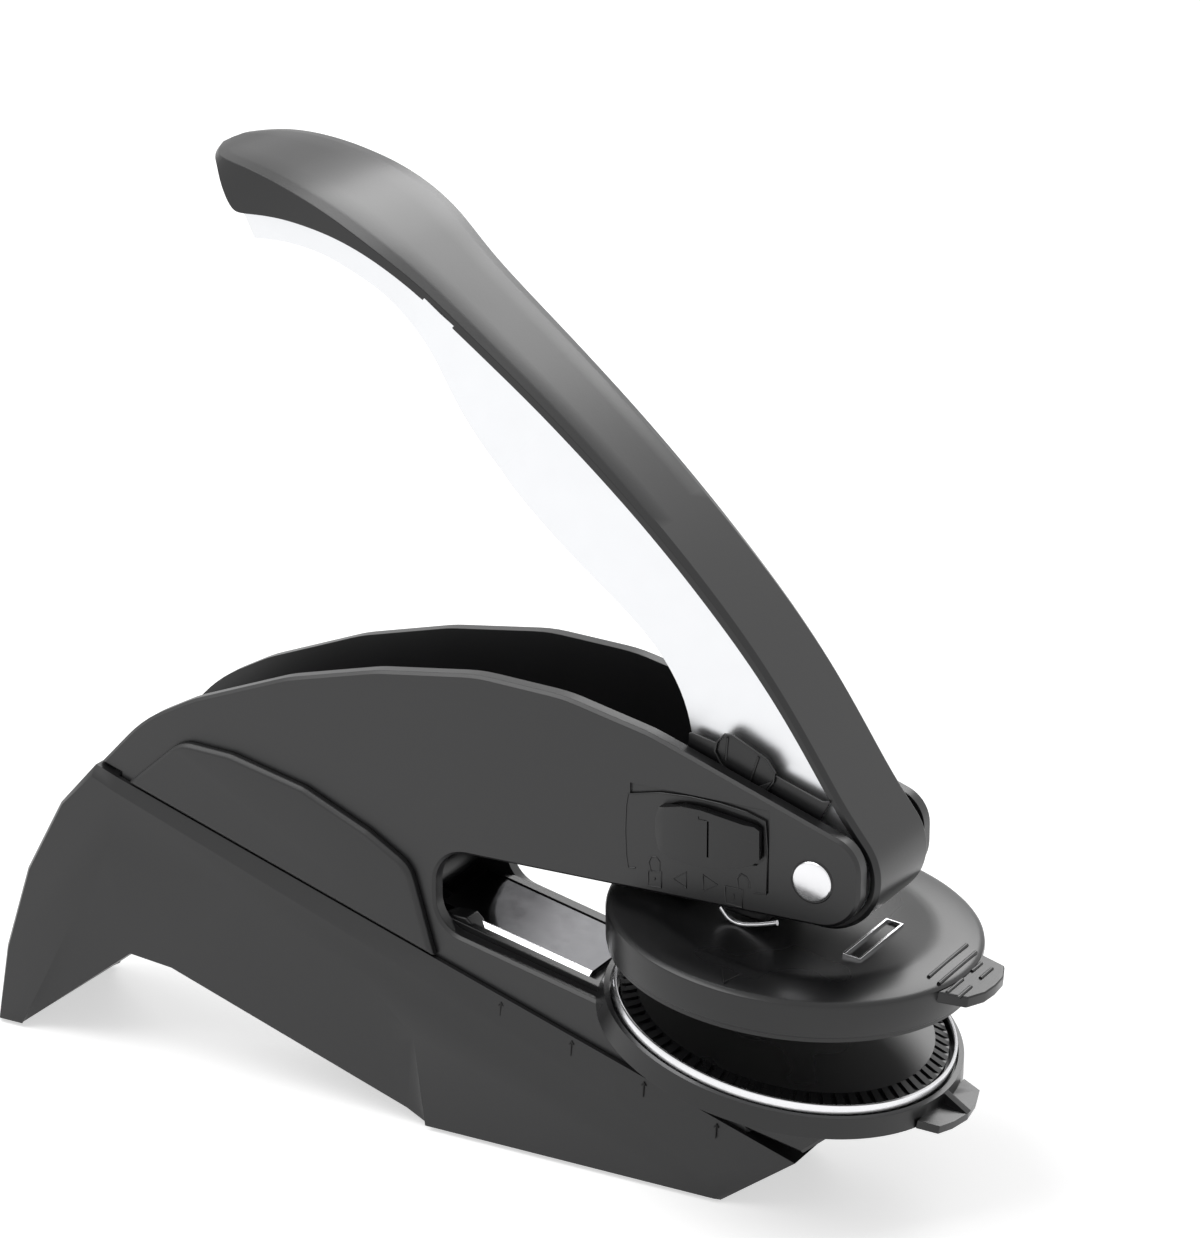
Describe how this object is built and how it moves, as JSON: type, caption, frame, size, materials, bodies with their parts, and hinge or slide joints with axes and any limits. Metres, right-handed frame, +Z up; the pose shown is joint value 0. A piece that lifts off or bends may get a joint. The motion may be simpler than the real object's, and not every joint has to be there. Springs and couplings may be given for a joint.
{
  "type": "seal embosser",
  "caption": "Hand seal embosser: a narrow arched shoe carries two side plates, a sprung pressing lever, round embossing dies and a sliding lock button.",
  "frame": {"origin": "on the ground under the middle of the embosser's length and width", "axes": "+X to the front, where the dies are; +Y to the left; +Z up, so -Y is the lock button's side"},
  "size_m": [0.1403, 0.0464, 0.1235],
  "materials": {
    "frame_black": "satin black",
    "shoe_grey": "fine matte",
    "grip_black": "soft matte",
    "die_black": "fine matte",
    "lever_silver": "bright",
    "steel_bright": "bright",
    "spring_steel": "plain",
    "pad_rubber": "matte"
  },
  "bodies": {
    "frame": {"side_plate_right": "frame_black", "side_plate_left": "frame_black", "base_shoe": "shoe_grey", "foot_pads": "pad_rubber", "base_screws": "steel_bright", "side_panel_right": "shoe_grey", "side_panel_left": "shoe_grey", "channel_floor": "frame_black", "frame_spacers": "frame_black", "frame_rivets": "frame_black", "die_seat": "die_black", "throat_stop": "die_black", "lower_die_holder": "die_black", "lower_die_ring": "steel_bright", "lower_die": "die_black", "die_hinge_pin": "steel_bright", "hinge_spring": "spring_steel", "pivot_pin": "steel_bright", "pivot_bushings": "die_black", "lever_return_spring": "spring_steel", "lock_detent_spring": "spring_steel"},
    "lever": {"lever_core": "lever_silver", "lever_cover": "grip_black", "press_roller": "steel_bright", "roller_pin": "steel_bright", "catch_pin": "steel_bright", "grip_screws": "steel_bright"},
    "upper_die_swing": {"upper_die_holder": "die_black", "upper_die": "die_black", "press_bar": "steel_bright", "upper_die_arm": "frame_black", "arm_screws": "steel_bright", "press_block": "frame_black", "lift_wire": "steel_bright"},
    "lock_slide": {"lock_button": "die_black", "lock_carriage": "die_black", "lock_hook": "die_black"}
  },
  "joints": [
    {"name": "lever_press", "type": "hinge", "parent": "frame", "child": "lever", "pos_m": [0.05032, 0, 0.0448], "axis": [0, -1, 0], "range_deg": [0, 34], "stiffness_Nm_per_rad": 0.6, "springref_deg": -34.38},
    {"name": "upper_die_hinge", "type": "hinge", "parent": "frame", "child": "upper_die_swing", "pos_m": [-0.01588, 0, 0.0371], "axis": [0, 1, 0], "range_deg": [0, 6.6]},
    {"name": "lock_slide_travel", "type": "slide", "parent": "frame", "child": "lock_slide", "axis": [-1, 0, 0], "range_m": [0, 0.004]}
  ],
  "couplings": [
    {"joint": "upper_die_hinge", "follows": "lever_press", "ratio": 0.19412}
  ]
}
